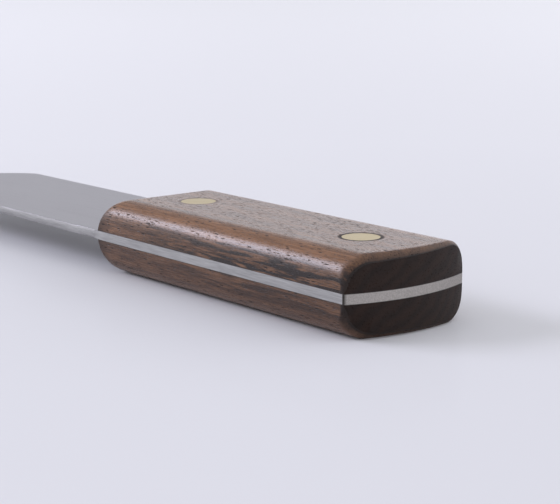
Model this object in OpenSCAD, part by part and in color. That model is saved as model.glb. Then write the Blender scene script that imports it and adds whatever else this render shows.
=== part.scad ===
// Straight-sided head knife for leather: one flat steel bar is both blade and full tang, and two
// rounded wooden scales are glued to it and held by two brass pins. The knife lies on its lower scale.
// +X runs from the butt to the cutting head, +Y to the straight back, +Z up. The origin is on the
// lower scale's flat face, midway between the pins. Millimetres.

/* [Handle] */
// Length of the handle from the butt's corners to the nose
handle_len = 93.5; // [80:0.5:120]
// Width of the handle, scales and tang alike
handle_w = 35; // [28:0.5:44]
// Thickness of one scale
scale_t = 8; // [6:0.1:11]
// Rounding of the scales' long edges
edge_r = 6; // [1.5:0.1:9]
// Rounding of the nose, seen from the side
nose_r = 7.6; // [1.5:0.1:10]
// How far the middle of the butt stands out past its corners
butt_bulge = 3.4; // [1:0.1:8]
// Bevel round the outer edge of the butt
butt_bevel = 1.6; // [0.4:0.1:3]

/* [Blade] */
// Thickness of the steel bar, tang and heel
blade_t = 2.2; // [1.5:0.1:3.5]
// Thickness to which the blade tapers at the tip of the head
tip_t = 1.5; // [1:0.1:3]
// Width of the blade in front of the handle
blade_w = 38.5; // [30:0.5:50]
// Length of the blade from the nose to the tip of the head
blade_len = 108; // [80:1:140]
// Radius of the curved cutting edge
head_r = 26; // [26:0.5:60]
// Width of the ground bevel behind the cutting edge
bevel_w = 6; // [3:0.1:10]
// Thickness left at the cutting edge
edge_t = 0.12; // [0.05:0.01:0.3]
// Gap between the nose and the heel of the blade
heel_gap = 2; // [0.5:0.1:6]
// Rounding of the heel's corner
heel_r = 2.4; // [0.5:0.1:3]
// Depth of the shallow grinding relief on the back, in front of the nose
relief_depth = 0.4; // [0.1:0.1:1]
// Length of that relief
relief_len = 9; // [4:0.5:16]

/* [Pins] */
// Diameter of the brass pins
pin_d = 9.5; // [4:0.1:12]
// Distance from the butt's corners to the rear pin's centre
rear_pin_inset = 14.3; // [10:0.1:25]
// Distance from the nose to the front pin's centre
front_pin_inset = 19; // [14:0.1:28]

/* [Glue] */
// Thickness of the glue film under each scale
film_t = 0.1; // [0.05:0.01:0.3]
// Width of the glue-filled gap round each pin, within the scales
ring_gap = 0.2; // [0.1:0.05:0.4]

/* [Hidden] */
$fn = 128;

over = 1;                                            // how far cutting shapes run past what they cut
pin_pitch = handle_len - rear_pin_inset - front_pin_inset;
rear_pin_x = -pin_pitch / 2;
front_pin_x = pin_pitch / 2;
corner_x = rear_pin_x - rear_pin_inset;              // the butt's two corners
butt_x = corner_x - butt_bulge;                      // the middle of the butt
nose_x = corner_x + handle_len;
tip_x = nose_x + blade_len;
head_x = tip_x - head_r;                             // centre of the head's curve
heel_x = nose_x + heel_gap;
relief_x = nose_x + over + relief_len / 2;

back_y = handle_w / 2;                               // the blade's back is flush with the handle
front_y = back_y - blade_w;
blade_mid_y = (back_y + front_y) / 2;

film_z = scale_t;                                    // top of the lower scale
steel_z = film_z + film_t;                           // underside of the steel
height = 2 * steel_z + blade_t;

butt_r = (pow(handle_w / 2, 2) + pow(butt_bulge, 2)) / (2 * butt_bulge);
round_r = min(edge_r, scale_t - 0.5, handle_w / 2 - 1);
nose_round = min(nose_r, scale_t - 0.2);
bevel_h = (blade_t - edge_t) / 2;
relief_r = (pow(relief_len / 2, 2) + pow(relief_depth, 2)) / (2 * relief_depth);
bore_d = pin_d + 2 * ring_gap;
split_x = 0;                                         // the butt's arc ends well behind here

// Plan of the handle: straight sides, square nose, arched butt.
module handle_plan() {
    translate([split_x - over, -handle_w / 2]) square([nose_x - split_x + over, handle_w]);
    intersection() {
        translate([butt_x, -handle_w / 2]) square([split_x - butt_x, handle_w]);
        translate([butt_x + butt_r, 0]) circle(r = butt_r);
    }
}

// Section of a scale across the handle: glue face at the bottom, rounded outer edges at the top.
module scale_section() {
    side = handle_w / 2 - round_r;
    translate([-handle_w / 2, 0]) square([handle_w, scale_t - round_r]);
    translate([-side, 0]) square([2 * side, scale_t]);
    for (s = [-1, 1]) translate([s * side, scale_t - round_r]) circle(r = round_r);
}

// Side view of a scale: the nose curves from the glue face up to the outer face.
module scale_profile() {
    translate([butt_x - over, 0]) square([nose_x - nose_round - butt_x + over, scale_t]);
    translate([butt_x, 0]) square([nose_x - butt_x, scale_t - nose_round]);
    translate([nose_x - nose_round, scale_t - nose_round]) circle(r = nose_round);
}

// Plan of the handle with the arched butt's outer edge bevelled by a cone.
module bevelled_plan() {
    translate([split_x - over, -handle_w / 2, 0]) cube([nose_x - split_x + over, handle_w, scale_t]);
    intersection() {
        translate([butt_x, -handle_w / 2, 0]) cube([split_x - butt_x, handle_w, scale_t]);
        translate([butt_x + butt_r, 0, 0]) union() {
            cylinder(h = scale_t - butt_bevel, r = butt_r);
            translate([0, 0, scale_t - butt_bevel])
                cylinder(h = butt_bevel, r1 = butt_r, r2 = butt_r - butt_bevel);
        }
    }
}

// One scale with its glue face on z = 0 and its two pin bores.
module scale_blank() {
    difference() {
        intersection() {
            bevelled_plan();
            translate([butt_x - over, 0, 0]) rotate([90, 0, 90])
                linear_extrude(nose_x - butt_x + 2 * over) scale_section();
            translate([0, handle_w / 2 + over, 0]) rotate([90, 0, 0])
                linear_extrude(handle_w + 2 * over) scale_profile();
        }
        for (x = [rear_pin_x, front_pin_x])
            translate([x, 0, -over]) cylinder(h = scale_t + 2 * over, d = bore_d);
    }
}

module upper_scale() {
    color([0.33, 0.19, 0.12]) translate([0, 0, height - scale_t]) scale_blank();
}

module lower_scale() {
    color([0.31, 0.18, 0.12]) translate([0, 0, film_z]) mirror([0, 0, 1]) scale_blank();
}

// The thin glue film between a scale and the tang.
module glue_film(z) {
    translate([0, 0, z]) linear_extrude(film_t) difference() {
        handle_plan();
        for (x = [rear_pin_x, front_pin_x]) translate([x, 0]) circle(d = bore_d);
    }
}

module upper_glue_film() {
    color([0.08, 0.07, 0.06]) glue_film(steel_z + blade_t);
}

module lower_glue_film() {
    color([0.08, 0.07, 0.06]) glue_film(film_z);
}

// Plan of the blade in front of the handle: neck, heel, long sides and curved head.
module blade_plan() {
    translate([nose_x - over, -handle_w / 2]) square([heel_x - nose_x + over + heel_r, handle_w]);
    translate([heel_x, front_y + heel_r]) square([head_x - heel_x, blade_w - heel_r]);
    translate([heel_x + heel_r, front_y]) square([head_x - heel_x - heel_r, blade_w]);
    translate([heel_x + heel_r, front_y + heel_r]) circle(r = heel_r);
    intersection() {
        translate([head_x, blade_mid_y]) circle(r = head_r);
        translate([head_x, front_y]) square([head_r + over, blade_w]);
    }
}

// Side view of the steel: even under the handle, then tapering to the tip of the head.
module steel_profile() {
    step = (blade_t - tip_t) / 2;
    polygon([
        [butt_x - over, 0], [nose_x, 0], [tip_x, step], [tip_x + over, step],
        [tip_x + over, blade_t - step], [tip_x, blade_t - step], [nose_x, blade_t], [butt_x - over, blade_t]
    ]);
}

// What the two bevels leave of the steel: all of the bar, then a disc with an edge ground from both faces.
module bevelled_reach() {
    translate([butt_x - over, front_y - over, 0])
        cube([head_x - butt_x + over, blade_w + 2 * over, blade_t]);
    translate([head_x, blade_mid_y, 0]) rotate_extrude() polygon([
        [0, 0], [head_r - bevel_w, 0], [head_r, bevel_h], [head_r, bevel_h + edge_t],
        [head_r - bevel_w, blade_t], [0, blade_t]
    ]);
}

module blade() {
    color([0.66, 0.66, 0.68]) translate([0, 0, steel_z]) difference() {
        intersection() {
            linear_extrude(blade_t) union() {
                handle_plan();
                blade_plan();
            }
            translate([0, back_y + over, 0]) rotate([90, 0, 0])
                linear_extrude(blade_w + handle_w) steel_profile();
            bevelled_reach();
        }
        for (x = [rear_pin_x, front_pin_x])
            translate([x, 0, -over]) cylinder(h = blade_t + 2 * over, d = pin_d);
        translate([relief_x, back_y + relief_r - relief_depth, -over])
            cylinder(h = blade_t + 2 * over, r = relief_r);
    }
}

module pin(x) {
    color([0.78, 0.66, 0.38]) translate([x, 0, 0]) cylinder(h = height, d = pin_d);
}

module front_pin() {
    pin(front_pin_x);
}

module rear_pin() {
    pin(rear_pin_x);
}

// The two glue sleeves round one pin, one in each scale, each as deep as the scale and its film.
module pin_glue(x) {
    color([0.08, 0.07, 0.06]) for (z = [0, steel_z + blade_t]) translate([x, 0, z]) difference() {
        cylinder(h = steel_z, d = bore_d);
        translate([0, 0, -over]) cylinder(h = steel_z + 2 * over, d = pin_d);
    }
}

module front_pin_glue() {
    pin_glue(front_pin_x);
}

module rear_pin_glue() {
    pin_glue(rear_pin_x);
}

blade();
upper_scale();
lower_scale();
upper_glue_film();
lower_glue_film();
front_pin();
rear_pin();
front_pin_glue();
rear_pin_glue();
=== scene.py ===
"""A full-tang head knife for leather: steel blade, two oiled wooden scales, brass pins and dark glue.

Lengths are in metres. The knife lies along +X from butt to head, +Z is up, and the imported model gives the
place and size of every piece.
"""

import math
from typing import NamedTuple

import bmesh
import bpy
import numpy as np
from bpy.props import FloatProperty, FloatVectorProperty, IntProperty, PointerProperty
from bpy.types import Operator, Panel, PropertyGroup
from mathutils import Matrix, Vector


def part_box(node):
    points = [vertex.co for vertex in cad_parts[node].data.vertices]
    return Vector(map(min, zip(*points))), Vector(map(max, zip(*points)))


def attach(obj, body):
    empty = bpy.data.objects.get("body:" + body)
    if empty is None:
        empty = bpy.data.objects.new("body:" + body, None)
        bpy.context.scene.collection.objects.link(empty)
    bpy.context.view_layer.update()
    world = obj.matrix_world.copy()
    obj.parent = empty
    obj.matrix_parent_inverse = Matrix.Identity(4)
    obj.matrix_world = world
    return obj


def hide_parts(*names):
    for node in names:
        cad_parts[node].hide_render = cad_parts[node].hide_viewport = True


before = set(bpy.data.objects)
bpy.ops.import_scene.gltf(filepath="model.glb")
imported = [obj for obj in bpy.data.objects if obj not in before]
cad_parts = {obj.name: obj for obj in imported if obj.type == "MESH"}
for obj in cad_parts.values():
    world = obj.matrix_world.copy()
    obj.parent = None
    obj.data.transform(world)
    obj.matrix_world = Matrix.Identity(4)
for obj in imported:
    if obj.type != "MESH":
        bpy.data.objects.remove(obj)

bl_info = {
    "name": "Head knife",
    "version": (1, 0, 0),
    "blender": (4, 5, 0),
    "location": "View3D > Sidebar > Head knife",
    "description": "Builds a full-tang head knife with wooden scales round its packed model",
    "category": "Object",
}

BODY = "root"
MM = 0.001
PER_MM = 1 / MM
SMOOTH_BELOW = math.radians(32)
WELD = 1e-8
TOUCH = 1e-9
PINS = ("front_pin", "rear_pin")

# How many grid rows cover the butt's bevel, the way from there to the straight lines, a long edge's rounding,
# the nose's rounding, the lead to the cutting edge's bevel, and that bevel.
BUTT_ROWS = 9
LEAD_ROWS = 9
EDGE_ROWS = 14
NOSE_ROWS = 16
HEAD_ROWS = 8
# Half the width of the squares round a pin, in grid steps: the largest, and the one that becomes the bore.
SQUARE_STEPS = 12
HOLE_STEPS = 8
# The power with which the nose's and the long edges' drops are joined, and a scale's least height.
NOSE_POWER = 2.6
LEAST_HEIGHT = 0.05 * MM
# The butt's bevel: its length over its depth, the power of its curve, and what the corner by the blade's back
# adds to both.
BEVEL_SLANT = 1.15
BEVEL_POWER = 1.6
CORNER_REACH = 2.2 * MM
CORNER_POWER = 2.6
# The butt's outline: its steps round the long edge and up the wall, and its level at the wall's top.
OUTLINE_STEPS = 60
WALL_STEPS = 12
WALL_LEVEL = 0.45
# End grain, partly painted shade on the bevel and at the bores: at the bevel's top, on the nose, the least
# that counts as all, the reach of its fade down the sides, how much less the near corner shows, and how far
# out of a bore it starts.
TOP_STAIN = 0.38
NOSE_STAIN = 0.66
ALL_END_GRAIN = 0.99
SIDE_FADE = 1.3
CORNER_GLOSS = 0.4
RIM_REACH = 0.05 * MM

# The blade: grid steps near the handle and along its length, the heel's upright step, and the run over which
# its long edges come to be broken. A first guess and a few rounds find where bevel and taper meet.
FINE_STEP = 0.5 * MM
LONG_STEP = 2.5 * MM
HEEL_WALL = 0.04 * MM
BREAK_RUN = 3 * MM
BEVEL_GUESS = 0.7
BEVEL_ROUNDS = 6

FLOOR_REACH = 6.0
FLOOR_GAP = 0.02 * MM
SENSOR_WIDTH = 36.0
NEAREST_VIEW = 0.01

# What the steel's colour is multiplied by as its painted shade grows: bare, the tang's end painted a little
# darker, and a near-black line of painted shade.
PAINTED_STEEL_SHADE = ((0.0, (1.0, 1.0, 1.0)), (0.45, (0.77, 0.73, 0.69)), (1.0, (0.05, 0.045, 0.04)))
GLUE_DARK, GLUE_LIGHT = (0.010, 0.008, 0.007), (0.035, 0.026, 0.020)
STEEL_RIM, BRASS_RIM = (0.72, 0.72, 0.73), (0.75, 0.73, 0.68)


class ScaleLook(NamedTuple):
    """What sets one scale apart from the other."""

    node: str
    shift: tuple  # where in the wood's figure the scale is cut
    pith: tuple  # y and z of the growth rings' middle
    heart: float  # strength of the near-black streaks beside the steel
    shade_dulling: float  # share of plain brown laid over the figure
    # The plain-brown dulling of the lower scale is painted shade, for its dim reflection of the shaded floor.
    bevel: float  # the bevel's depth, as a share of the set depth
    # The bevel's foot value is end grain and partly painted shade, more of it on the lower scale.
    darkening: float  # end grain at the foot of the bevel
    # The bores' dark rims are partly stain and partly painted shade of the gap round each pin.
    pin_rims: tuple  # end grain round the bores, the rear one first


SCALES = (
    ScaleLook("upper_scale", (0.31, 0.12, 0.07), (-44 * MM, -58 * MM), 0.8, 0.0, 1.0, 0.68, (0.72, 0.42)),
    ScaleLook("lower_scale", (0.83, 0.45, 0.61), (52 * MM, 71 * MM), 0.45, 0.4, 0.85, 0.8, (0.72, 0.42)),
)


def corners(node):
    """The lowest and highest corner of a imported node, as two arrays."""
    low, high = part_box(node)
    return np.array(low), np.array(high)


# ---------------------------------------------------------------------------------------------------------
# Sizes and colours that a user would change
# ---------------------------------------------------------------------------------------------------------


def length(name, description, default):
    """A length property in metres."""
    return FloatProperty(
        name=name, description=description, default=default, min=0.0, precision=5, unit="LENGTH"
    )


def colour(name, description, default):
    """A linear colour property."""
    return FloatVectorProperty(
        name=name, description=description, default=default, size=3, min=0.0, max=1.0, subtype="COLOR"
    )


def share(name, description, default):
    """A number from 0 to 1."""
    return FloatProperty(
        name=name, description=description, default=default, min=0.0, max=1.0, subtype="FACTOR"
    )


def amount(name, description, default):
    """A number of 0 or more."""
    return FloatProperty(name=name, description=description, default=default, min=0.0)


def angle(name, description, degrees):
    """An angle, whose default is given in degrees."""
    return FloatProperty(
        name=name, description=description, default=math.radians(degrees), subtype="ANGLE"
    )


class HandleSizes(PropertyGroup):
    """The shaping of the two scales."""

    edge_round: length("Edge rounding", "Radius of the scales' long edges", 6.0 * MM)
    nose_round: length("Nose rounding", "Radius of the nose, seen from the side", 7.6 * MM)
    butt_bulge: length("Butt bulge", "How far the middle of the butt stands past its corners", 3.4 * MM)
    bevel_drop: length("Butt bevel", "Depth of the sanded bevel in the middle of the butt", 1.35 * MM)
    bevel_lean: length("Bevel lean", "How much deeper the bevel is at the back than in the middle", 0.65 * MM)
    corner_round: length(
        "Corner rounding", "Radius of the butt's upright corner at the blade's back", 0.5 * MM
    )
    far_corner_round: length("Far corner rounding", "Radius of the butt's other upright corner", 0.2 * MM)
    step: length("Grid step", "Distance between the lines that the flat faces are made of", 0.6 * MM)


class BladeSizes(PropertyGroup):
    """The shaping of the steel."""

    tip_thickness: length("Tip thickness", "Thickness to which the blade tapers at its tip", 1.5 * MM)
    edge_thickness: length("Edge thickness", "Thickness left at the cutting edge", 0.04 * MM)
    head_radius: length("Head radius", "Radius of the curved cutting edge", 26.0 * MM)
    bevel_width: length("Bevel width", "Width that the bevel would have on untapered steel", 6.0 * MM)
    heel_gap: length("Heel gap", "Distance from the nose to the heel", 2.0 * MM)
    heel_round: length("Heel rounding", "Radius of the heel's corner", 2.4 * MM)
    relief_start: length(
        "Relief start", "Distance from the nose to the grinding relief on the back", 1.0 * MM
    )
    relief_length: length("Relief length", "Length of that relief", 9.0 * MM)
    relief_depth: length("Relief depth", "Depth of that relief", 0.4 * MM)
    # Painted shade: the tang's end is painted a little darker than its sides.
    butt_shade: share("Butt dulling", "How much duller the tang's end is than its sides", 0.45)
    edge_break: length("Edge break", "Radius on the blade's long edges, in front of the nose", 0.14 * MM)


class PinSizes(PropertyGroup):
    """The finish of the pins' ends."""

    edge_break: length("Pin edge", "Radius on the rim of a pin's end", 0.05 * MM)
    dishing: length("Dishing", "How far a pin's rim lies under its middle", 0.015 * MM)
    glue_sink: length("Glue sink", "How far the glue round a pin has sunk", 0.2 * MM)
    steps: IntProperty(name="Steps", description="Sides of a turned piece", default=96, min=24)


class WoodFinish(PropertyGroup):
    """The oiled dark wood."""

    light: colour("Light wood", "The palest of the wood", (0.235, 0.120, 0.063))
    middle: colour("Middle wood", "The most of the wood", (0.062, 0.031, 0.0195))
    dark: colour("Dark wood", "The darkest streaks", (0.022, 0.015, 0.013))
    pore: colour("Pores", "The inside of the open pores", (0.010, 0.006, 0.005))
    end_light: colour("Pale end grain", "The palest of the end grain", (0.019, 0.0085, 0.005))
    end_dark: colour("Dark end grain", "The darkest of the end grain", (0.006, 0.003, 0.0022))
    ring_width: length("Ring width", "Distance between two growth rings", 3.4 * MM)
    roughness: share("Roughness", "Roughness of the oiled surface", 0.27)
    gloss: share("Gloss", "Strength of the long grain's reflections", 0.36)
    end_gloss: share("End gloss", "Strength of the end grain's reflections", 0.2)


class MetalFinish(PropertyGroup):
    """The steel and the brass."""

    steel: colour("Steel", "Colour of the blade's faces", (0.457, 0.445, 0.462))
    steel_roughness: share("Steel roughness", "Roughness of the blade's faces", 0.34)
    steel_lines: share("Brush lines", "Contrast of the brush lines on the blade's faces", 0.10)
    # The narrow sides have a rougher ground finish, and a colour a little darker than the faces as painted
    # shade of their dim reflections.
    edge_steel: colour("Edge steel", "Colour of the narrow sides of the steel", (0.43, 0.425, 0.42))
    edge_roughness: share("Edge roughness", "Roughness of the narrow sides of the steel", 0.42)
    edge_lines: share("Edge lines", "Contrast of the brush lines on the narrow sides", 0.85)
    brass: colour("Brass", "Colour of the brass", (0.64, 0.54, 0.335))
    brass_roughness: share("Brass roughness", "Roughness of the pins' sanded ends", 0.30)


class StageLook(PropertyGroup):
    """The floor, the light and the camera."""

    floor: colour("Floor", "Colour of the floor", (0.652, 0.65, 0.664))
    surroundings: colour("Surroundings", "Colour of the light from all round", (0.785, 0.79, 0.845))
    horizon: amount("Horizon", "Brightness of the surroundings near the horizon", 1.5)
    wall: amount("Walls", "Brightness of the surroundings above the horizon", 0.55)
    ceiling: amount("Ceiling", "Brightness of the surroundings overhead", 1.2)
    side_light: amount("Bright side", "Brightness added low down on the surroundings' bright side", 1.6)
    bright_side: FloatVectorProperty(
        name="Bright side's way", description="The way to the bright side", default=(-0.5, -0.87), size=2
    )
    window: colour("Window", "Colour of the window light", (0.84, 0.84, 1.0))
    window_power: FloatProperty(
        name="Window power", description="Power of the window light", default=30.0, min=0.0, unit="POWER"
    )
    window_size: FloatVectorProperty(
        name="Window size",
        description="Width and height of the window",
        default=(1.2, 0.62),
        size=2,
        unit="LENGTH",
    )
    window_distance: length("Window distance", "Distance from the knife to the window", 2.2)
    window_bearing: angle("Window bearing", "Angle from the knife to the window, seen from above", 38.0)
    window_height: angle("Window height", "Height of the window over the horizon", 29.0)
    turn: angle("Camera turn", "Angle between the line of sight and the knife, seen from above", 39.26)
    tilt: angle("Camera tilt", "How far the camera looks down", 11.43)
    place: FloatVectorProperty(
        name="Camera place",
        description="Where the camera stands",
        default=(-300.0 * MM, 243.7 * MM, 88.4 * MM),
        size=3,
        subtype="XYZ",
        unit="LENGTH",
    )
    lens: FloatProperty(name="Lens", description="Focal length in millimetres", default=107.7, min=10.0)


class HeadKnifeSettings(PropertyGroup):
    """Everything that can be changed about the knife."""

    handle: PointerProperty(type=HandleSizes)
    blade: PointerProperty(type=BladeSizes)
    pins: PointerProperty(type=PinSizes)
    wood: PointerProperty(type=WoodFinish)
    metal: PointerProperty(type=MetalFinish)
    stage: PointerProperty(type=StageLook)


# ---------------------------------------------------------------------------------------------------------
# Surfaces
# ---------------------------------------------------------------------------------------------------------


def even(start, stop, step):
    """Evenly spaced values from start to stop, no further apart than step, both ends included."""
    return np.linspace(start, stop, max(2, int(math.ceil(abs(stop - start) / step - 1e-6)) + 1))


def join_lines(*parts):
    """Stretches of grid lines that share their end values, as one rising array."""
    return np.unique(np.round(np.concatenate(parts), 9))


def quarter(radius, count):
    """Distances in from an edge at even angles of a quarter circle: radius * (1 - cos angle)."""
    return radius * (1 - np.cos(np.linspace(0, math.pi / 2, count + 1)))


def round_drop(inward, radius):
    """How far a rounded edge lies under its flat: radius - sqrt(radius^2 - (radius - inward)^2)."""
    left = np.clip(radius - inward, 0, radius)
    return radius - np.sqrt(np.maximum(radius**2 - left**2, 0))


def slab(x, y, top, bottom, kept, worn=0.0):
    """A closed body between two heights over one grid of corners, with one value of end grain or painted
    shade at each corner.

    Corner (i, j) stands at (x, y) and the body fills from bottom to top over each kept cell. Where a kept
    cell has no kept neighbour, a wall joins the two faces. Returns the points, the faces, a mask of all
    walls, and the end grain or painted shade at each point."""
    count = x.size
    index = np.arange(count).reshape(x.shape)
    points = np.concatenate([np.stack([x, y, h], -1).reshape(-1, 3) for h in (top, bottom)])
    a, b, c, d = index[:-1, :-1], index[1:, :-1], index[1:, 1:], index[:-1, 1:]
    upper = np.stack([a, b, c, d], -1)[kept]
    around = np.pad(kept, 1)
    sides = (
        (a, b, around[1:-1, :-2]),
        (b, c, around[2:, 1:-1]),
        (c, d, around[1:-1, 2:]),
        (d, a, around[:-2, 1:-1]),
    )
    walls = [np.stack([q, p, p + count, q + count], -1)[kept & ~beside] for p, q, beside in sides]
    faces = np.concatenate([upper, upper[:, ::-1] + count, *walls])
    wall_mask = np.arange(len(faces)) >= 2 * len(upper)
    used, faces = np.unique(faces, return_inverse=True)
    worn = np.tile(np.broadcast_to(worn, x.shape).ravel(), 2)
    return points[used], faces.reshape(-1, 4), wall_mask, worn[used]


def flip(points, faces, level):
    """The same body mirrored in the plane z = level, its faces still outwards."""
    return points * (1, 1, -1) + (0, 0, 2 * level), faces[:, ::-1]


def turned(radii, heights, centre, steps, ring=False):
    """A profile of radii and heights carried round an upright axis: (r cos a, r sin a, h) for all angles a.

    A ring's profile closes on itself. Any other starts and ends on the axis."""
    a = np.arange(steps) * (2 * math.pi / steps)
    r = np.asarray(radii)[:, None]
    x = centre[0] + r * np.cos(a)
    y = centre[1] + r * np.sin(a)
    z = np.broadcast_to(np.asarray(heights)[:, None], x.shape)
    rows = len(radii) if ring else len(radii) - 1
    i, j = np.meshgrid(np.arange(rows), np.arange(steps), indexing="ij")
    below, above = i * steps, (i + 1) % len(radii) * steps
    after = (j + 1) % steps
    faces = np.stack([below + j, below + after, above + after, above + j], -1).reshape(-1, 4)
    return np.stack([x, y, z], -1).reshape(-1, 3), faces


def add_piece(name, points, faces, materials, replaced, marked=None, worn=None):
    """Puts a surface into a new object at the origin, welds its poles, and fixes it to the knife's body.

    marked picks the second material face by face. The last argument is a value from 0 to 1 at each point,
    end grain or painted shade, which the material reads as its attribute."""
    mesh = bpy.data.meshes.new(name)
    mesh.from_pydata(points.tolist(), [], faces.tolist())
    if worn is not None:
        mesh.attributes.new("worn", "FLOAT", "POINT").data.foreach_set("value", worn.astype(np.float32))
    for material in materials:
        mesh.materials.append(material)
    if marked is not None:
        mesh.polygons.foreach_set("material_index", marked.astype(np.int32))
    work = bmesh.new()
    work.from_mesh(mesh)
    bmesh.ops.remove_doubles(work, verts=work.verts, dist=WELD)
    work.to_mesh(mesh)
    work.free()
    mesh.polygons.foreach_set("use_smooth", np.ones(len(mesh.polygons), bool))
    mesh.set_sharp_from_angle(angle=SMOOTH_BELOW)
    if mesh.validate():
        raise RuntimeError(f"{name} has faces that don't hold together")
    piece = bpy.data.objects.new(name, mesh)
    bpy.context.scene.collection.objects.link(piece)
    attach(piece, BODY)
    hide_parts(*replaced)
    return piece


class HandlePlan:
    """The grid of the handle's plan, which the scales, the glue films and the tang share.

    Lines in x start on the butt's arch and straighten before the rear pin. Round each pin, squares of grid
    lines turn into circles, and the cells inside the smallest are left out for the bore."""

    def __init__(self, sizes, bore):
        low, high = corners("lower_scale")
        self.sizes = sizes
        self.half = high[1]
        self.nose = high[0]
        self.butt = low[0]
        self.pins = sorted(float(sum(c[0] for c in corners(p))) / 2 for p in PINS)
        self.bore = bore
        square = SQUARE_STEPS * sizes.step
        self.window, self.hole = square, HOLE_STEPS * sizes.step
        edge = quarter(sizes.edge_round, EDGE_ROWS)
        flat = self.half - sizes.edge_round
        rear, front = self.pins
        y_flat = join_lines(
            even(-flat, -square, sizes.step),
            even(-square, square, sizes.step),
            even(square, flat, sizes.step),
        )
        self.y = join_lines(edge - self.half, y_flat, self.half - edge)
        nose_start = self.nose - sizes.nose_round
        self.x = join_lines(
            even(rear - square, rear + square, sizes.step),
            even(rear + square, front - square, sizes.step),
            even(front - square, front + square, sizes.step),
            even(front + square, nose_start, sizes.step),
            self.nose - quarter(sizes.nose_round, NOSE_ROWS),
        )
        self.inward = self.half - np.abs(self.y)

    def butt_line(self):
        """x of the butt's end over the width: an arch, and a quarter circle at each upright corner."""
        s = self.sizes
        radius = (self.half**2 + s.butt_bulge**2) / (2 * s.butt_bulge)
        arch = self.butt + radius - np.sqrt(radius**2 - self.y**2)
        near, far = round_drop(self.inward, s.corner_round), round_drop(self.inward, s.far_corner_round)
        return arch + np.where(self.y > 0, near, far)

    def section_angle(self):
        """Sine of the angle up the rounded long edge at each y: 0 on the side, 1 on the flat."""
        left = np.clip(1 - self.inward / self.sizes.edge_round, 0, 1)
        return np.sqrt(1 - left**2)

    def bevel_depth(self, drop, lean):
        """The bevel's depth over the width, deeper towards the back of the blade by lean."""
        return drop + lean * self.y / self.half

    def grid(self, bevel):
        """Corners x, y and kept cells. bevel is how far the butt's bevel reaches along x at each y."""
        bevelled = self.butt_line() + np.linspace(0, 1, BUTT_ROWS)[:, None] * bevel
        lead = np.linspace(0, 1, LEAD_ROWS + 2)[1:-1, None]
        between = bevelled[-1] + lead * (self.x[0] - bevelled[-1])
        straight = np.repeat(self.x[:, None], len(self.y), 1)
        x = np.concatenate([bevelled, between, straight])
        y = np.repeat(self.y[None, :], len(x), 0)
        kept = np.ones((x.shape[0] - 1, x.shape[1] - 1), bool)
        for pin in self.pins:
            x, y = self.round_hole(x, y, pin)
            middle_x = (x[:-1, :-1] + x[1:, 1:]) / 2 - pin
            middle_y = (y[:-1, :-1] + y[1:, 1:]) / 2
            kept &= middle_x**2 + middle_y**2 > (self.bore * math.cos(math.pi / 8)) ** 2
        return x, y, kept

    def round_hole(self, x, y, pin):
        """Turns the squares of lines round a pin into circles.

        A point on a square keeps its share t of the way from side middle to corner, which gives the angle
        t * 45 degrees. The smallest square becomes the bore and the largest stays a square."""
        dx, dy = x - pin, y
        reach = np.maximum(np.abs(dx), np.abs(dy))
        near = (reach > TOUCH) & (reach < self.window - TOUCH)
        safe = np.where(near, reach, 1.0)
        across = np.abs(dx) >= np.abs(dy)
        share_along = np.where(across, dy, dx) / safe
        side = np.where(across, np.sign(dx), np.sign(dy))
        bearing = np.where(across, share_along * side, 2 - share_along * side) * math.pi / 4
        bearing = np.where(side < 0, bearing + math.pi, bearing)
        blend = np.clip((reach - self.hole) / (self.window - self.hole), 0, 1)
        radius = np.where(reach < self.hole, self.bore * reach / self.hole, self.bore + (reach - self.hole))
        x_round, y_round = pin + radius * np.cos(bearing), radius * np.sin(bearing)
        weight = np.where(near, 1 - blend**1.5, 0)
        return x + weight * (x_round - x), y + weight * (y_round - y)


def butt_outline(plan, sizes, thickness, drop, lean):
    """Height of the butt's outline at each y: the section's outline, moved in by the bevel's depth.

    The section is an upright wall and a quarter circle. Each of its points moves against its normal by
    depth * level, and level grows from 0 at the wall's foot over WALL_LEVEL at its top to 1 on the flat."""
    turn = np.linspace(0, math.pi / 2, OUTLINE_STEPS)
    wall = thickness - sizes.edge_round
    no_tilt = np.zeros(WALL_STEPS - 1)
    up_wall = np.linspace(0, 1, WALL_STEPS)[:-1]
    z_outline = np.concatenate([wall * up_wall, wall + sizes.edge_round * np.sin(turn)])
    in_outline = np.concatenate([no_tilt, sizes.edge_round * (1 - np.cos(turn))])
    level = np.concatenate([WALL_LEVEL * up_wall, WALL_LEVEL + (1 - WALL_LEVEL) * np.sin(turn)])
    tilt = np.concatenate([no_tilt, turn])
    start = np.empty_like(plan.y)
    for sign in (-1, 1):
        half = plan.y * sign >= 0
        depth = drop + sign * lean * (1 - in_outline / plan.half)
        inward = in_outline + depth * level * np.cos(tilt)
        height = z_outline - depth * level * np.sin(tilt)
        start[half] = np.interp(plan.inward[half], inward, height)
    depth = plan.bevel_depth(drop, lean)
    on_flat = plan.inward >= sizes.edge_round + depth
    return np.where(on_flat, thickness - depth, np.minimum(start, thickness - depth * plan.section_angle()))


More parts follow.
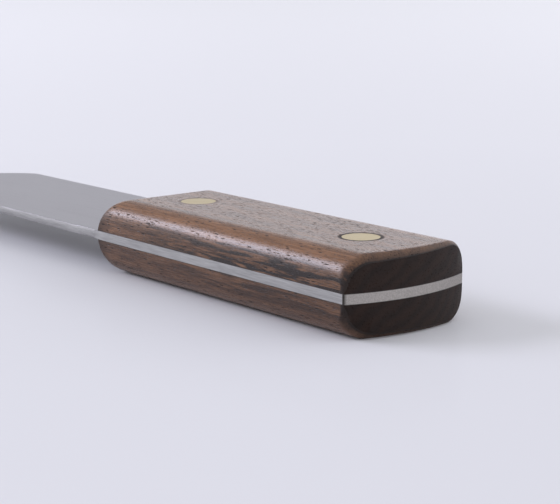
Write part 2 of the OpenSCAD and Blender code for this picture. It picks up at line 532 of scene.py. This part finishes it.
def end_grain_share(plan, x, y, near_corner, nose_drop, look):
    """How much of the end grain shows at each corner of the grid, from 0 to 1.

    It is 1 on the butt. Up the bevel, as t goes from 0 to 1, it falls in a line from the look's bevel value
    to
    TOP_STAIN on the flat and as 1 - t / SIDE_FADE on the sides, and sine^0.7 of the section's angle blends
    the two; on the bevel it is partly end grain and partly painted shade, most on the lower scale. On the
    nose it is NOSE_STAIN * (drop / radius)^0.25, and round the bores it is the look's own dark rim, partly
    stain and partly painted shade of the gap round the pin."""
    t = np.linspace(0, 1, BUTT_ROWS)[1:, None]
    # The bevel's darkening is partly end grain and partly painted shade.
    on_flat = (look.darkening - (look.darkening - TOP_STAIN) * t) * (1 - CORNER_GLOSS * near_corner**0.5)
    on_side = np.clip(1 - t / SIDE_FADE, 0, 1)
    shown = np.zeros(x.shape)
    shown[0] = 1
    shown[1:BUTT_ROWS] = on_side + (on_flat - on_side) * plan.section_angle() ** 0.7
    on_nose = NOSE_STAIN * np.clip(nose_drop / plan.sizes.nose_round, 0, 1) ** 0.25
    shown = np.maximum(shown, on_nose)
    # Each bore's dark rim: partly stain, partly painted shade of the gap round its pin.
    for pin, darkening in zip(plan.pins, look.pin_rims):
        shown[np.hypot(x - pin, y) < plan.bore + RIM_REACH] = darkening
    return shown


def scale_surface(plan, sizes, thickness, look):
    """One scale over its glue face at z = 0: the flat less the drops of its long edges and its nose.

    The height is thickness - (edge^2.6 + nose^2.6)^(1/2.6), so that the corners of the nose are soft. At the
    butt, a sanded bevel rises from the outline set in by its depth to the full section, as 1 - (1 - t)^1.6,
    and it is longer and flatter at the corner by the blade's back."""
    drop, lean = sizes.bevel_drop * look.bevel, sizes.bevel_lean
    sine = plan.section_angle()
    near_corner = (plan.y > 0) * 4 * sine * (1 - sine)
    bevel = BEVEL_SLANT * plan.bevel_depth(drop, lean) * (0.5 + 0.5 * sine) + CORNER_REACH * near_corner**1.5
    x, y, kept = plan.grid(bevel)
    start = butt_outline(plan, sizes, thickness, drop, lean)
    side = thickness - round_drop(plan.inward, sizes.edge_round)
    rise = np.ones(x.shape)
    t = np.linspace(0, 1, BUTT_ROWS)[:, None]
    rise[:BUTT_ROWS] = 1 - (1 - t) ** (BEVEL_POWER + CORNER_POWER * near_corner**0.5)
    height = start + (side - start) * rise
    nose_drop = round_drop(plan.nose - x, sizes.nose_round)
    edge_drop = thickness - height
    joined = (edge_drop**NOSE_POWER + nose_drop**NOSE_POWER) ** (1 / NOSE_POWER)
    height = np.where(nose_drop > 0, thickness - joined, height)
    height = np.maximum(height, LEAST_HEIGHT)
    shown = end_grain_share(plan, x, y, near_corner, nose_drop, look)
    return slab(x, y, height, np.zeros_like(height), kept, shown)


def plate_surface(plan, bottom, top):
    """A flat plate over the whole plan of the handle, with the pins' bores."""
    x, y, kept = plan.grid(np.full(len(plan.y), plan.sizes.bevel_drop))
    return slab(x, y, np.full(x.shape, top), np.full(x.shape, bottom), kept)[:2]


def blade_surface(plan, sizes):
    """The steel: a plate over the handle's plan that runs on as the blade.

    Lines in y follow the two long sides, lines in x turn into arcs round the head. Half the thickness is the
    taper's, or the bevel's edge / 2 + slope * distance from the cutting edge where that is less, and the
    long edges in front of the nose are broken by a small radius."""
    low, high = corners("blade")
    middle, full = (low[2] + high[2]) / 2, high[2] - low[2]
    nose, tip, back, far = plan.nose, high[0], high[1], low[1]
    neck = -plan.half
    heel = nose + sizes.heel_gap
    x_handle, y_handle, kept_handle = plan.grid(np.full(len(plan.y), plan.sizes.bevel_drop))
    relief_end = nose + sizes.relief_start + sizes.relief_length
    head_x = tip - sizes.head_radius
    lines = join_lines(
        even(nose, heel, FINE_STEP)[1:],
        [heel + HEEL_WALL],
        heel + quarter(sizes.heel_round, HEAD_ROWS)[1:],
        even(nose + sizes.relief_start, relief_end, FINE_STEP),
        even(relief_end, head_x, LONG_STEP),
    )
    # The relief is an arc cut out of the back.
    relief_radius = (sizes.relief_length**2 / 4 + sizes.relief_depth**2) / (2 * sizes.relief_depth)
    from_middle = lines - nose - sizes.relief_start - sizes.relief_length / 2
    under = np.sqrt(relief_radius**2 - np.minimum(from_middle**2, relief_radius**2))
    y_back = back - np.maximum(sizes.relief_depth - relief_radius + under, 0)
    y_far = np.where(lines > heel, far + round_drop(lines - heel, sizes.heel_round), neck)
    part = (plan.y + plan.half) / (2 * plan.half)
    x_long = np.repeat(lines[:, None], len(part), 1)
    y_long = y_far[:, None] + (y_back - y_far)[:, None] * part
    # The head: arcs at a growing distance in from the cutting edge, down to where bevel and taper meet.
    y_head = far + (back - far) * part
    y_centre = (back + far) / 2
    slope = (full - sizes.edge_thickness) / 2 / sizes.bevel_width

    def taper(x):
        """Half the thickness at x: it falls evenly from the nose to the tip."""
        gone = np.clip((x - nose) / (tip - nose), 0, 1)
        return (full - (full - sizes.tip_thickness) * gone) / 2

    def arc(inwards):
        """x at each y of the arc that lies this far in from the cutting edge."""
        return head_x + np.sqrt((sizes.head_radius - inwards) ** 2 - (y_head - y_centre) ** 2)

    bevel = np.full(len(part), BEVEL_GUESS * sizes.bevel_width)
    for _ in range(BEVEL_ROUNDS):
        bevel = (taper(arc(bevel)) - sizes.edge_thickness / 2) / slope
    t_lead = np.linspace(0, 1, HEAD_ROWS + 1)[1:, None]
    t_bevel = np.linspace(1, 0, HEAD_ROWS + 1)[1:, None]
    x_lead = head_x + t_lead * (arc(bevel) - head_x)
    x_bevel = arc(bevel * t_bevel)
    x = np.concatenate([x_handle, x_long, x_lead, x_bevel])
    y = np.concatenate([y_handle, y_long, np.repeat(y_head[None, :], len(x_lead) + len(x_bevel), 0)])
    half = taper(x)
    half[-len(x_bevel) :] = sizes.edge_thickness / 2 + slope * bevel * t_bevel
    side_gap = np.minimum(part, 1 - part) * (back - far)
    broken = round_drop(side_gap, sizes.edge_break) * np.clip((x - nose) / BREAK_RUN, 0, 1)
    half = np.maximum(half - broken, sizes.edge_thickness / 2)
    kept = np.ones((x.shape[0] - 1, x.shape[1] - 1), bool)
    kept[: len(kept_handle)] = kept_handle
    # Painted shade: a near-black line on the butt's rounded corner, and the butt a little darker than the
    # sides.
    worn = np.zeros(x.shape)
    corner_shade = np.clip(1 - plan.inward / plan.sizes.corner_round, 0, 1) ** 0.5 * (plan.y > 0)
    worn[0] = np.maximum(corner_shade, sizes.butt_shade)
    return slab(x, y, middle + half, middle - half, kept, worn)


def pin_profile(radius, low, high, sizes):
    """Radii and heights of a pin from one pole to the other: a dished end and a broken rim at both.

    The dish is dishing * (r / radius)^2, and the rim is a quarter circle of the edge's radius. A ring of
    points just inside the rim keeps the end's shading flat."""
    e = sizes.edge_break
    out = np.append(np.linspace(0, radius - 2.5 * e, 6), radius - e)
    dish = sizes.dishing * (out / radius) ** 2
    turn = np.linspace(0, math.pi / 2, 5)[1:]
    rim_r = radius - e + e * np.sin(turn)
    rim_z = sizes.dishing + e * (1 - np.cos(turn))
    radii = np.concatenate([out, rim_r, rim_r[::-1], out[::-1]])
    heights = np.concatenate([low + dish, low + rim_z, high - rim_z[::-1], high - dish[::-1]])
    return radii, heights


# ---------------------------------------------------------------------------------------------------------
# Materials
# ---------------------------------------------------------------------------------------------------------


class Signal:
    """One output of a node. Arithmetic with numbers and other signals adds Math nodes."""

    def __init__(self, net, node, output=0):
        self.net = net
        self.node = node
        self.socket = node.outputs[output] if node.outputs else None

    def output(self, name):
        """Another output of the same node."""
        return Signal(self.net, self.node, name)

    def math(self, operation, *values):
        """Adds one Math node over numbers and signals."""
        return self.net.node("ShaderNodeMath", {"operation": operation}, dict(enumerate(values)))

    def __add__(self, other):
        return self.math("ADD", self, other)

    def __sub__(self, other):
        return self.math("SUBTRACT", self, other)

    def __mul__(self, other):
        return self.math("MULTIPLY", self, other)

    def __truediv__(self, other):
        return self.math("DIVIDE", self, other)

    def __pow__(self, other):
        return self.math("POWER", self, other)

    def __radd__(self, other):
        return self.math("ADD", other, self)

    def __rsub__(self, other):
        return self.math("SUBTRACT", other, self)

    def __rmul__(self, other):
        return self.math("MULTIPLY", other, self)

    def rise(self, low, high):
        """0 up to low, 1 from high on, and a smooth rise between; it falls if low is above high."""
        flipped = low > high
        inputs = {
            "Value": self,
            "From Min": min(low, high),
            "From Max": max(low, high),
            "To Min": float(flipped),
            "To Max": float(not flipped),
        }
        return self.net.node("ShaderNodeMapRange", {"interpolation_type": "SMOOTHSTEP"}, inputs)


class Net:
    """The node tree of a material or world, with one method that adds any node."""

    def __init__(self, holder):
        self.holder = holder
        holder.use_nodes = True
        self.tree = holder.node_tree
        self.tree.nodes.clear()

    def node(self, kind, settings=None, inputs=None, output=0):
        """Adds a node: its settings first, then a value or a link for each named or numbered input."""
        made = self.tree.nodes.new(kind)
        for key, value in (settings or {}).items():
            if key == "stops":
                self.set_stops(made.color_ramp, value)
            else:
                setattr(made, key, value)
        for key, value in (inputs or {}).items():
            if isinstance(value, Signal):
                self.tree.links.new(value.socket, made.inputs[key])
            elif isinstance(value, (tuple, list)) and len(made.inputs[key].default_value) == 4:
                made.inputs[key].default_value = (*value[:3], 1.0)
            else:
                made.inputs[key].default_value = value
        return Signal(self, made, output)

    @staticmethod
    def set_stops(ramp, stops):
        """Sets a colour ramp to (position, colour) stops."""
        while len(ramp.elements) < len(stops):
            ramp.elements.new(0.5)
        for element, (position, value) in zip(ramp.elements, stops):
            element.position = position
            element.color = (*value, 1.0)

    def mix(self, factor, first, second, blend="MIX"):
        """Mixes two colours. The colours' sockets are numbers 6 and 7, and the result is output 2."""
        how = {"data_type": "RGBA", "blend_type": blend}
        return self.node("ShaderNodeMix", how, {0: factor, 6: first, 7: second}, 2)

    def place(self, scale=(1.0, 1.0, 1.0), shift=(0.0, 0.0, 0.0), turn=(0.0, 0.0, 0.0)):
        """The point on the knife, scaled, turned and then shifted."""
        point = self.node("ShaderNodeTexCoord").output("Object")
        inputs = {"Vector": point, "Scale": scale, "Rotation": turn, "Location": shift}
        return self.node("ShaderNodeMapping", None, inputs)

    def grains(self, along, across, shift=(0.0, 0.0, 0.0)):
        """The point on the knife, measured in grains of a length and a width in millimetres."""
        return self.place((PER_MM / along, PER_MM / across, PER_MM / across), shift)

    def noise(self, point, detail=3.0, rough=0.5, warp=0.0):
        """Smooth noise from 0 to 1, about one hill to a unit."""
        inputs = {"Vector": point, "Scale": 1.0, "Detail": detail, "Roughness": rough, "Distortion": warp}
        return self.node("ShaderNodeTexNoise", None, inputs)

    def cells(self, point):
        """Distance to the nearest of the points scattered in space, about one to a unit."""
        return self.node("ShaderNodeTexVoronoi", None, {"Vector": point, "Scale": 1.0})

    def worn(self):
        """The end grain or painted shade that the mesh gives at each point."""
        return self.node("ShaderNodeAttribute", {"attribute_name": "worn"}, None, "Fac")

    def bump(self, height, distance):
        """A normal that follows height times distance."""
        return self.node("ShaderNodeBump", None, {"Height": height, "Distance": distance, "Strength": 1.0})

    def finish(self, inputs):
        """Ends the tree in a Principled shader and returns the material."""
        shader = self.node("ShaderNodeBsdfPrincipled", None, inputs)
        self.node("ShaderNodeOutputMaterial", None, {"Surface": shader})
        return self.holder


def new_net(name):
    """The empty node tree of a new material."""
    return Net(bpy.data.materials.new(name))


def wood_material(name, finish, look, glue_level, gloss):
    """Oiled wood: brown with paler and near-black streaks drawn out along the knife, and open pores.

    Rings are sin(2 pi (distance from the pith + a slow wobble) / ring width). The streaks are darkest next
    to the steel and towards the butt. Pores are the hearts of stretched cells, kept where a slower noise is
    high. On the end grain, which the attribute gives, the same figure is near black and matt."""
    net = new_net(name)

    def figure(along, across, detail, rough=0.5, warp=0.0):
        return net.noise(net.grains(along, across, look.shift), detail, rough, warp)

    def pores(along, across, inner, outer):
        return net.cells(net.grains(along, across, look.shift)).rise(outer, inner)

    slow = figure(60, 7, 2.0)
    broad = figure(17, 1.3, 3.0, 0.6, 0.6)
    narrow = figure(7.5, 0.45, 4.0, 0.65, 0.5)
    fibre = figure(4, 0.14, 3.0, 0.65)
    patch = figure(10, 2.2, 2.0)

    point = net.node("ShaderNodeSeparateXYZ", None, {0: net.node("ShaderNodeTexCoord").output("Object")})
    side, up = point.output("Y") - look.pith[0], point.output("Z") - look.pith[1]
    from_pith = (side * side + up * up) ** 0.5
    wobble = (slow - 0.5) * (6 * MM)
    turns = (from_pith + wobble) / finish.ring_width + narrow * 0.2
    ring = turns.math("SINE", turns * (2 * math.pi)) * 0.5 + 0.5

    from_steel = point.output("Z").math("ABSOLUTE", point.output("Z") - glue_level)
    heart = from_steel.rise(6.0 * MM, 1.5 * MM) * point.output("X").rise(48 * MM, -18 * MM) * look.heart
    pale_layer = from_steel.rise(4 * MM, 7 * MM) * from_steel.rise(8.2 * MM, 7.2 * MM)
    pale = narrow.rise(0.36, 0.66) * 0.6 + ring * 0.25 + (fibre - 0.5) * 0.5 + pale_layer * 0.38
    dark = broad.rise(0.60, 0.42) * (0.22 + heart * 0.75) + (0.62 - narrow) * 1.6 * heart
    body = net.mix(pale.math("MINIMUM", pale, 1.0), tuple(finish.middle), tuple(finish.light))
    body = net.mix(dark.math("MAXIMUM", dark, 0.0).rise(0.05, 0.7), body, tuple(finish.dark))
    # Painted shade: the lower scale's figure is dulled towards plain brown.
    body = net.mix(look.shade_dulling, body, tuple(finish.middle))

    large = pores(3.6, 0.62, 0.16, 0.24) * patch.rise(0.34, 0.52)
    small = pores(2.2, 0.40, 0.14, 0.25) * 0.8
    dust = pores(0.9, 0.20, 0.10, 0.32) * 0.35
    pore = large.math("MAXIMUM", large.math("MAXIMUM", large, small), dust)
    body = net.mix(pore * 0.92, body, tuple(finish.pore))

    end_tone = ring * 0.45 + broad * 0.35 + slow * 0.2
    end = net.mix(end_tone, tuple(finish.end_dark), tuple(finish.end_light))
    # The attribute is end grain, with painted shade on the bevel and at the bores' rims.
    end_grain = net.worn().rise(0.25, 0.8)
    rough = finish.roughness + (fibre - 0.5) * 0.22 + (narrow - 0.5) * 0.1 + pore * 0.55
    return net.finish(
        {
            "Base Color": net.mix(end_grain, body, end),
            "Roughness": rough + end_grain * 0.35,
            "Normal": net.bump(fibre * 0.4 + narrow * 0.2 - pore, 0.035 * MM),
            "Specular IOR Level": gloss,
        }
    )


def steel_material(name, steel, roughness, lines):
    """Brushed steel: scratches drawn along the knife in three widths, and cloudy tone.

    lines is the contrast of the middle ones. The attribute's painted shade darkens the steel by the ramp of
    its own."""
    net = new_net(name)
    fine = net.noise(net.grains(9, 0.10), 4.0, 0.65)
    coarse = net.noise(net.grains(48, 0.2), 3.0, 0.6)
    cloud = net.noise(net.grains(16, 16))
    medium = net.noise(net.grains(5, 0.32), 3.0, 0.6)
    scratch = coarse.rise(0.58, 0.68)
    tone = 0.80 + fine * 0.30 + (medium - 0.5) * lines + (cloud - 0.5) * 0.14 - scratch * 0.12
    # Painted shade from the attribute: the tang's end a little darker, and a near-black line on its corner.
    darkening = net.node("ShaderNodeValToRGB", {"stops": PAINTED_STEEL_SHADE}, {"Fac": net.worn()})
    return net.finish(
        {
            "Base Color": net.mix(1.0, net.mix(1.0, tuple(steel), tone, "MULTIPLY"), darkening, "MULTIPLY"),
            "Metallic": 1.0,
            "Specular Tint": STEEL_RIM,
            "Roughness": roughness + (fine - 0.5) * 0.16 + (cloud - 0.5) * 0.08,
            "Normal": net.bump(fine * 0.5 - scratch, 0.006 * MM),
        }
    )


def brass_material(name, finish):
    """Sanded brass: fine crossing scratches and a faint warm mottling."""
    net = new_net(name)
    first = net.noise(net.place((PER_MM / 3, PER_MM / 0.08, PER_MM), turn=(0, 0, 0.5)), 3.0, 0.6)
    second = net.noise(net.place((PER_MM / 3, PER_MM / 0.12, PER_MM), turn=(0, 0, -0.9)), 3.0, 0.6)
    cloud = net.noise(net.grains(2.4, 2.4))
    tone = 0.88 + (first + second) * 0.08 + (cloud - 0.5) * 0.16
    return net.finish(
        {
            "Base Color": net.mix(1.0, tuple(finish.brass), tone, "MULTIPLY"),
            "Metallic": 1.0,
            "Specular Tint": BRASS_RIM,
            "Roughness": finish.brass_roughness + (cloud - 0.5) * 0.12 + (first - 0.5) * 0.12,
            "Normal": net.bump(first + second, 0.004 * MM),
        }
    )


def glue_material(name):
    """Dark cured glue, a little uneven."""
    net = new_net(name)
    cloud = net.noise(net.place((1.4 * PER_MM,) * 3))
    return net.finish(
        {
            "Base Color": net.mix(cloud, GLUE_DARK, GLUE_LIGHT),
            "Roughness": 0.35 + cloud * 0.25,
            "Normal": net.bump(cloud, 0.02 * MM),
        }
    )


def floor_material(name, look):
    """A plain, pale, matt floor."""
    inputs = {"Base Color": tuple(look.floor), "Roughness": 0.2, "Specular IOR Level": 0.002}
    return new_net(name).finish(inputs)


# ---------------------------------------------------------------------------------------------------------
# Operators
# ---------------------------------------------------------------------------------------------------------


def settings(context):
    """The knife's settings in this scene."""
    return context.scene.head_knife


def handle_plan(context):
    """The shared plan, with a bore that takes a pin and its glue."""
    low, high = corners(PINS[0] + "_glue")
    return HandlePlan(settings(context).handle, (high[0] - low[0]) / 2)


class HEADKNIFE_OT_scales(Operator):
    """Shape the two wooden scales"""

    bl_idname = "headknife.scales"
    bl_label = "Scales"

    def execute(self, context):
        s = settings(context)
        plan = handle_plan(context)
        for look in SCALES:
            low, high = corners(look.node)
            points, faces, _, end_grain = scale_surface(plan, s.handle, high[2] - low[2], look)
            glue_level = low[2] if look.node == "upper_scale" else high[2]
            points = points + (0, 0, glue_level)
            if look.node == "lower_scale":
                points, faces = flip(points, faces, glue_level)
            woods = (
                wood_material(look.node + "_long_grain", s.wood, look, glue_level, s.wood.gloss),
                wood_material(look.node + "_end_grain", s.wood, look, glue_level, s.wood.end_gloss),
            )
            ends = (end_grain[faces] > ALL_END_GRAIN).all(1)
            add_piece(look.node + "_wood", points, faces, woods, [look.node], ends, end_grain)
        return {"FINISHED"}


class HEADKNIFE_OT_blade(Operator):
    """Shape the blade and its tang"""

    bl_idname = "headknife.blade"
    bl_label = "Blade"

    def execute(self, context):
        points, faces, walls, worn = blade_surface(handle_plan(context), settings(context).blade)
        metal = settings(context).metal
        steels = (
            steel_material("brushed_steel", metal.steel, metal.steel_roughness, metal.steel_lines),
            steel_material("ground_and_shaded_edge_steel", metal.edge_steel, metal.edge_roughness, metal.edge_lines),
        )
        add_piece("blade_and_tang", points, faces, steels, ["blade"], walls, worn)
        return {"FINISHED"}


class HEADKNIFE_OT_pins(Operator):
    """Turn the brass pins"""

    bl_idname = "headknife.pins"
    bl_label = "Pins"

    def execute(self, context):
        s = settings(context)
        brass = brass_material("sanded_brass", s.metal)
        for node in PINS:
            low, high = corners(node)
            radii, heights = pin_profile((high[0] - low[0]) / 2, low[2], high[2], s.pins)
            points, faces = turned(radii, heights, (low + high) / 2, s.pins.steps)
            add_piece(node + "_brass", points, faces, (brass,), [node])
        return {"FINISHED"}


class HEADKNIFE_OT_glue(Operator):
    """Lay the glue films and the glue round the pins"""

    bl_idname = "headknife.glue"
    bl_label = "Glue"

    def execute(self, context):
        s = settings(context)
        glue = glue_material("dark_glue")
        plan = handle_plan(context)
        for node in ("upper_glue_film", "lower_glue_film"):
            low, high = corners(node)
            points, faces = plate_surface(plan, low[2], high[2])
            add_piece(node + "_line", points, faces, (glue,), [node])
        blade_low, blade_high = corners("blade")
        for pin in PINS:
            node = pin + "_glue"
            low, high = corners(node)
            inner = (corners(pin)[1][0] - corners(pin)[0][0]) / 2
            outer = (high[0] - low[0]) / 2
            sink = s.pins.glue_sink
            radii = (inner, outer, outer, inner)
            (under, under_faces), (over, over_faces) = (
                turned(radii, (bottom, bottom, top, top), (low + high) / 2, s.pins.steps, ring=True)
                for bottom, top in ((low[2] + sink, blade_low[2]), (blade_high[2], high[2] - sink))
            )
            points = np.concatenate([under, over])
            faces = np.concatenate([under_faces, over_faces + len(under)])
            add_piece(node + "_sleeves", points, faces, (glue,), [node])
        return {"FINISHED"}


class HEADKNIFE_OT_stage(Operator):
    """Set the floor, the light and the camera"""

    bl_idname = "headknife.stage"
    bl_label = "Stage"

    def execute(self, context):
        look = settings(context).stage
        scene = context.scene
        self.add_floor(scene, look)
        self.add_surroundings(scene, look)
        self.add_window(scene, look)
        camera = bpy.data.cameras.new("camera")
        camera.lens = look.lens
        camera.sensor_width = SENSOR_WIDTH
        camera.clip_start = NEAREST_VIEW
        holder = bpy.data.objects.new("camera", camera)
        scene.collection.objects.link(holder)
        flat = math.cos(look.tilt)
        sight = Vector((flat * math.cos(look.turn), -flat * math.sin(look.turn), -math.sin(look.tilt)))
        holder.location = look.place
        holder.rotation_euler = sight.to_track_quat("-Z", "Y").to_euler()
        scene.camera = holder
        scene.view_settings.view_transform = "Standard"
        return {"FINISHED"}

    @staticmethod
    def add_floor(scene, look):
        """A wide square just under the knife."""
        mesh = bpy.data.meshes.new("floor")
        signs = ((-1, -1), (1, -1), (1, 1), (-1, 1))
        square = [(x * FLOOR_REACH, y * FLOOR_REACH, -FLOOR_GAP) for x, y in signs]
        mesh.from_pydata(square, [], [(0, 1, 2, 3)])
        mesh.materials.append(floor_material("pale_floor", look))
        floor = bpy.data.objects.new("floor", mesh)
        scene.collection.objects.link(floor)

    @staticmethod
    def add_surroundings(scene, look):
        """Soft light from all round: a pale horizon, dim walls above, a bright ceiling and one brighter side.

        Each part fades into the next between two heights, which are sines of the angle over the horizon."""
        world = bpy.data.worlds.new("surroundings")
        net = Net(world)
        way = net.node("ShaderNodeSeparateXYZ", None, {0: net.node("ShaderNodeTexCoord").output("Generated")})
        up = way.output("Z")
        level = look.wall + (look.horizon - look.wall) * up.rise(0.40, 0.26)
        level = level + (look.ceiling - look.wall) * up.rise(0.66, 0.9)
        toward = way.output("X") * look.bright_side[0] + way.output("Y") * look.bright_side[1]
        level = level + toward.rise(0.1, 0.8) * up.rise(0.9, 0.4) * look.side_light
        colour_out = net.mix(1.0, tuple(look.surroundings), level, "MULTIPLY")
        shader = net.node("ShaderNodeBackground", None, {"Color": colour_out})
        net.node("ShaderNodeOutputWorld", None, {"Surface": shader})
        scene.world = world

    @staticmethod
    def add_window(scene, look):
        """One large soft light, up and beyond the blade's back."""
        light = bpy.data.lights.new("window", "AREA")
        light.shape = "RECTANGLE"
        light.size, light.size_y = look.window_size
        light.energy = look.window_power
        light.color = look.window
        holder = bpy.data.objects.new("window", light)
        scene.collection.objects.link(holder)
        bearing, flat = look.window_bearing, math.cos(look.window_height)
        way = Vector((flat * math.cos(bearing), flat * math.sin(bearing), math.sin(look.window_height)))
        holder.location = way * look.window_distance
        holder.rotation_euler = (-way).to_track_quat("-Z", "Y").to_euler()


class HEADKNIFE_PT_panel(Panel):
    """The knife's pieces and their sizes"""

    bl_idname = "HEADKNIFE_PT_panel"
    bl_label = "Head knife"
    bl_space_type = "VIEW_3D"
    bl_region_type = "UI"
    bl_category = "Head knife"

    def draw(self, context):
        for operator in OPERATORS:
            self.layout.operator(operator.bl_idname)
        for group in ("handle", "blade", "pins", "wood", "metal", "stage"):
            box = self.layout.box()
            box.label(text=group.capitalize())
            values = getattr(settings(context), group)
            for name in values.__annotations__:
                box.prop(values, name)


OPERATORS = (
    HEADKNIFE_OT_stage,
    HEADKNIFE_OT_scales,
    HEADKNIFE_OT_blade,
    HEADKNIFE_OT_pins,
    HEADKNIFE_OT_glue,
)
GROUPS = (HandleSizes, BladeSizes, PinSizes, WoodFinish, MetalFinish, StageLook, HeadKnifeSettings)


def register():
    """Adds the settings, the operators and the panel to Blender."""
    for cls in (*GROUPS, *OPERATORS, HEADKNIFE_PT_panel):
        bpy.utils.register_class(cls)
    bpy.types.Scene.head_knife = PointerProperty(type=HeadKnifeSettings)


def unregister():
    """Takes them away again."""
    del bpy.types.Scene.head_knife
    for cls in (HEADKNIFE_PT_panel, *reversed(OPERATORS), *reversed(GROUPS)):
        bpy.utils.unregister_class(cls)


def main():
    """Builds the whole knife."""
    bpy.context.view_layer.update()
    register()
    bpy.ops.headknife.stage()
    bpy.ops.headknife.scales()
    bpy.ops.headknife.blade()
    bpy.ops.headknife.pins()
    bpy.ops.headknife.glue()


if __name__ == "__main__":
    main()
